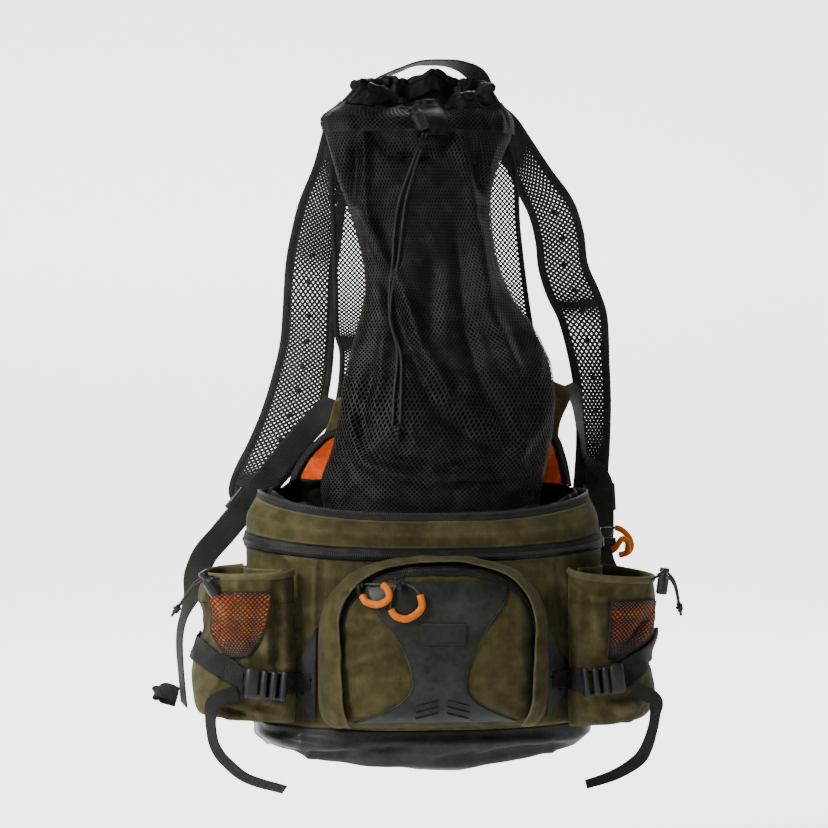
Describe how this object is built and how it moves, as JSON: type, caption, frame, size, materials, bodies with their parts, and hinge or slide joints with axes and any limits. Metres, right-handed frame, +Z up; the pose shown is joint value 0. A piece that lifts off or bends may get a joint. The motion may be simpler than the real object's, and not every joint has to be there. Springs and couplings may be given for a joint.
{
  "type": "hip pack with a mesh game bag and a shoulder harness",
  "caption": "Hip pack with a zipped front pocket, side bottle pockets, a tall mesh game bag, mesh shoulder straps and a padded hip belt, held by its haul loop",
  "frame": {"origin": "underside of the haul loop's crown, where the pack hangs", "axes": "+Z up as it hangs, the pack's front looks along -Y, the wearer is on the +Y side, +X is the right-hand side seen from the front"},
  "size_m": [0.5099, 0.4257, 0.7169],
  "materials": {
    "coated_fabric": "waterproof coated fabric, satin",
    "olive_canvas": "waxed olive canvas, matt",
    "zip_tape": "zip tape with coil teeth",
    "orange_lining": "orange lining cloth",
    "black_net": "open knitted mesh",
    "orange_net": "black mesh over an orange backing",
    "black_plastic": "moulded nylon, matt",
    "black_webbing": "woven nylon webbing",
    "black_nylon": "plain nylon cloth",
    "black_cord": "braided cord",
    "orange_rubber": "soft orange pull"
  },
  "bodies": {
    "root": {"base_tub": "coated_fabric", "body_wall": "olive_canvas", "expansion_band": "zip_tape", "collar": "olive_canvas", "rim_zip": "zip_tape", "lid": "olive_canvas", "lid_lining": "orange_lining", "back_net": "black_net", "front_pocket": "olive_canvas", "centre_panel": "coated_fabric", "front_patch": "black_plastic", "arch_flap": "olive_canvas", "mesh_bag": "black_net", "bag_collar": "black_nylon", "bag_cord_lock": "black_plastic", "drawcord_knot": "black_cord", "haul_loop": "black_webbing", "belt_loop": "black_webbing", "back_pad": "black_nylon", "belt_buckle": "black_plastic", "pull_cord_1": "black_cord", "pull_cord_2": "black_cord", "pull_grip_1": "orange_rubber", "pull_grip_2": "orange_rubber", "side_pull_grip_1": "orange_rubber", "side_pull_grip_2": "orange_rubber", "corner_wing_left": "olive_canvas", "corner_wing_right": "olive_canvas", "side_pocket_left": "olive_canvas", "side_pocket_right": "olive_canvas", "pocket_net_left": "orange_net", "pocket_net_right": "orange_net", "side_strap_left": "black_webbing", "side_strap_right": "black_webbing", "ladder_lock_left": "black_plastic", "ladder_lock_right": "black_plastic", "anchor_panel_left": "coated_fabric", "anchor_panel_right": "coated_fabric", "strap_tail_left": "black_webbing", "strap_tail_right": "black_webbing", "drawcord_left": "black_cord", "drawcord_right": "black_cord", "shoulder_strap_left": "black_net", "shoulder_strap_right": "black_net", "harness_web_left": "black_webbing", "harness_web_right": "black_webbing", "lower_web_left": "black_webbing", "lower_web_right": "black_webbing", "strap_buckle_left": "black_plastic", "strap_buckle_right": "black_plastic", "belt_wing_left": "black_nylon", "belt_wing_right": "black_nylon", "belt_web_left": "black_webbing", "belt_web_right": "black_webbing", "cord_lock_left": "black_plastic", "cord_lock_right": "black_plastic", "bungee_left": "black_cord", "bungee_right": "black_cord", "bungee_knot_left": "black_cord", "bungee_knot_right": "black_cord"}
  },
  "joints": []
}
